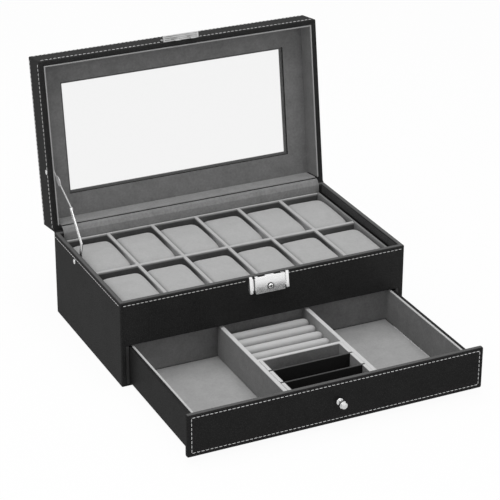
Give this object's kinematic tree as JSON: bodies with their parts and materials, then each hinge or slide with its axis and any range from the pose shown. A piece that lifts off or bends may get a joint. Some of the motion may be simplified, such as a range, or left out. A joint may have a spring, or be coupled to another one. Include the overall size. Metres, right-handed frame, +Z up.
{
  "type": "watch box",
  "caption": "Watch box with a glazed hinged lid, velvet pillows in divided cells, a front lock, a lid stay and a jewellery drawer with ring rolls.",
  "frame": {"origin": "centre of the base's underside", "axes": "+X to the right, +Y to the back, +Z up"},
  "size_m": [0.3209, 0.4148, 0.2825],
  "materials": {
    "black_leather": "fine-grained, satin",
    "grey_velvet": "short-pile velvet",
    "pillow_velvet": "short-pile velvet",
    "black_velvet": "short-pile velvet",
    "bay_board": "black paper-faced board",
    "glass": "clear, polished",
    "chrome": "polished",
    "steel": "bright plated"
  },
  "bodies": {
    "base": {"bottom_board": "black_leather", "left_side_panel": "black_leather", "right_side_panel": "black_leather", "back_panel": "black_leather", "upper_front_panel": "black_leather", "deck_board": "grey_velvet", "bay_liners": "bay_board", "tray_end_walls": "grey_velvet", "tray_long_walls": "grey_velvet", "long_divider": "grey_velvet", "cross_dividers": "grey_velvet", "hinge_base_leaves": "steel", "hinge_pins": "steel", "lock_plate": "chrome", "lock_cover": "chrome", "stay_base_rivet": "steel", "hinge_flap": "grey_velvet"},
    "lid": {"lid_front_wall": "black_leather", "lid_back_wall": "black_leather", "lid_left_wall": "black_leather", "lid_right_wall": "black_leather", "lid_top_frame": "black_leather", "glass_pane": "glass", "lid_lining_frame": "grey_velvet", "lid_wall_liners": "grey_velvet", "hinge_lid_leaves": "steel", "lid_catch": "chrome", "stay_lid_rivet": "steel"},
    "drawer": {"drawer_front": "black_leather", "drawer_left_side": "black_leather", "drawer_right_side": "black_leather", "drawer_back": "black_leather", "drawer_floor": "grey_velvet", "drawer_front_liner": "grey_velvet", "drawer_left_divider": "grey_velvet", "drawer_right_divider": "grey_velvet", "ring_cross_divider": "grey_velvet", "slot_strips": "grey_velvet", "ring_slot_dividers": "black_velvet", "ring_rolls": "pillow_velvet", "knob": "chrome", "knob_screw": "steel"},
    "lower_arm": {"stay_lower_arm": "steel", "stay_elbow_rivet": "steel"},
    "upper_arm": {"stay_upper_arm": "steel"},
    "lock_key": {"key_cylinder": "chrome", "lock_cam": "steel"},
    "pillow_1": {"pillow_1": "pillow_velvet"},
    "pillow_2": {"pillow_2": "pillow_velvet"},
    "pillow_3": {"pillow_3": "pillow_velvet"},
    "pillow_4": {"pillow_4": "pillow_velvet"},
    "pillow_5": {"pillow_5": "pillow_velvet"},
    "pillow_6": {"pillow_6": "pillow_velvet"},
    "pillow_7": {"pillow_7": "pillow_velvet"},
    "pillow_8": {"pillow_8": "pillow_velvet"},
    "pillow_9": {"pillow_9": "pillow_velvet"},
    "pillow_10": {"pillow_10": "pillow_velvet"},
    "pillow_11": {"pillow_11": "pillow_velvet"},
    "pillow_12": {"pillow_12": "pillow_velvet"}
  },
  "joints": [
    {"name": "lid_hinge", "type": "hinge", "parent": "base", "child": "lid", "pos_m": [0, 0.092, 0.094], "axis": [-1, 0, 0], "range_deg": [-98, 0], "deforming": ["hinge_flap"]},
    {"name": "drawer_slide", "type": "slide", "parent": "base", "child": "drawer", "axis": [0, -1, 0], "range_m": [-0.156, 0]},
    {"name": "stay_base_pivot", "type": "hinge", "parent": "base", "child": "lower_arm", "pos_m": [-0.153, 0.0314, 0.0863], "axis": [-1, 0, 0], "range_deg": [-140.83, 0.1]},
    {"name": "stay_elbow", "type": "hinge", "parent": "lower_arm", "child": "upper_arm", "pos_m": [-0.153, 0.0546, 0.1343], "axis": [-1, 0, 0], "range_deg": [-0.1, 126.03]},
    {"name": "key_turn", "type": "hinge", "parent": "base", "child": "lock_key", "pos_m": [0.0018, -0.097, 0.0828], "axis": [0, 1, 0], "range_deg": [0, 50]},
    {"name": "pillow_lift_1", "type": "slide", "parent": "base", "child": "pillow_1", "axis": [0, 0, 1], "range_m": [0, 0.03]},
    {"name": "pillow_lift_2", "type": "slide", "parent": "base", "child": "pillow_2", "axis": [0, 0, 1], "range_m": [0, 0.03]},
    {"name": "pillow_lift_3", "type": "slide", "parent": "base", "child": "pillow_3", "axis": [0, 0, 1], "range_m": [0, 0.03]},
    {"name": "pillow_lift_4", "type": "slide", "parent": "base", "child": "pillow_4", "axis": [0, 0, 1], "range_m": [0, 0.03]},
    {"name": "pillow_lift_5", "type": "slide", "parent": "base", "child": "pillow_5", "axis": [0, 0, 1], "range_m": [0, 0.03]},
    {"name": "pillow_lift_6", "type": "slide", "parent": "base", "child": "pillow_6", "axis": [0, 0, 1], "range_m": [0, 0.03]},
    {"name": "pillow_lift_7", "type": "slide", "parent": "base", "child": "pillow_7", "axis": [0, 0, 1], "range_m": [0, 0.03]},
    {"name": "pillow_lift_8", "type": "slide", "parent": "base", "child": "pillow_8", "axis": [0, 0, 1], "range_m": [0, 0.03]},
    {"name": "pillow_lift_9", "type": "slide", "parent": "base", "child": "pillow_9", "axis": [0, 0, 1], "range_m": [0, 0.03]},
    {"name": "pillow_lift_10", "type": "slide", "parent": "base", "child": "pillow_10", "axis": [0, 0, 1], "range_m": [0, 0.03]},
    {"name": "pillow_lift_11", "type": "slide", "parent": "base", "child": "pillow_11", "axis": [0, 0, 1], "range_m": [0, 0.03]},
    {"name": "pillow_lift_12", "type": "slide", "parent": "base", "child": "pillow_12", "axis": [0, 0, 1], "range_m": [0, 0.03]}
  ],
  "couplings": [
    {"joint": "stay_base_pivot", "follows": "lid_hinge", "ratio": 1.436},
    {"joint": "stay_elbow", "follows": "lid_hinge", "ratio": -1.285}
  ]
}
